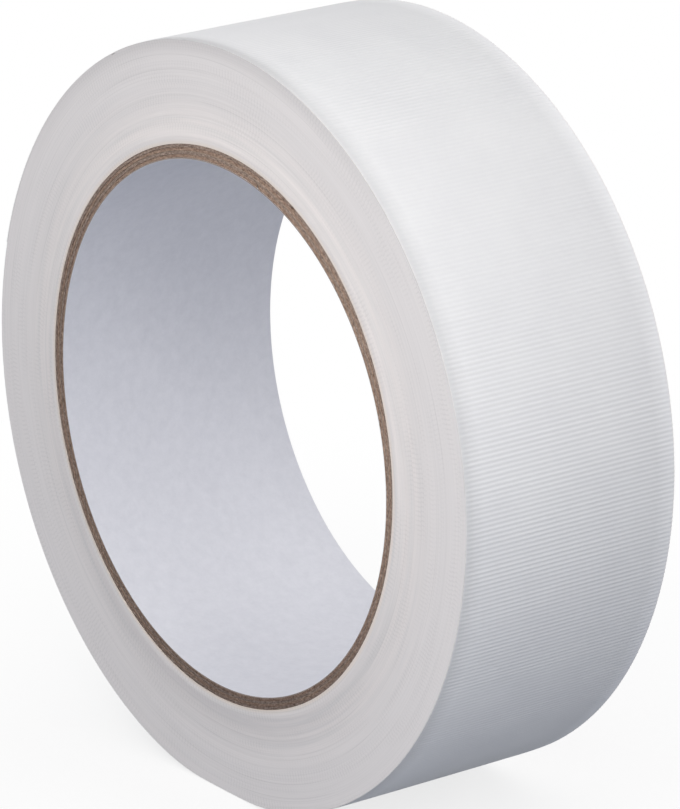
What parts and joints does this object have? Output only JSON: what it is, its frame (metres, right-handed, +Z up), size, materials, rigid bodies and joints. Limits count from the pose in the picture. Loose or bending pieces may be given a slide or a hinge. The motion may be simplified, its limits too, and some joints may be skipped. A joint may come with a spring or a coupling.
{
  "type": "roll of plastering tape",
  "caption": "Roll of white cross-ribbed plastering tape wound on a brown paper core with a white lining, with a free end that peels off the tread.",
  "frame": {"origin": "on the floor below the middle of the roll, which stands on the small flat of its tread", "axes": "+Z up, Y along the roll's axis with the front face at -Y, +X to the right seen from the front"},
  "size_m": [0.1092, 0.037, 0.1088],
  "materials": {
    "liner_paper": "smooth white paper",
    "core_board": "raw cut edges of brown board",
    "tape_edges": "slit edges of stacked film",
    "tape_film": "satin film with fine cross ribs"
  },
  "bodies": {
    "roll": {"core_liner": "liner_paper", "core_ply_1": "core_board", "core_ply_2": "core_board", "core_ply_3": "core_board", "core_ply_4": "core_board", "tape_pack": "tape_edges", "tape_outer_turn": "tape_film"},
    "free_end": {"tape_end": "tape_film"}
  },
  "joints": [
    {"name": "tape_end_peel", "type": "hinge", "parent": "roll", "child": "free_end", "pos_m": [-0.03313, 0, 0.09759], "axis": [0, 1, 0], "range_deg": [0, 120]}
  ]
}
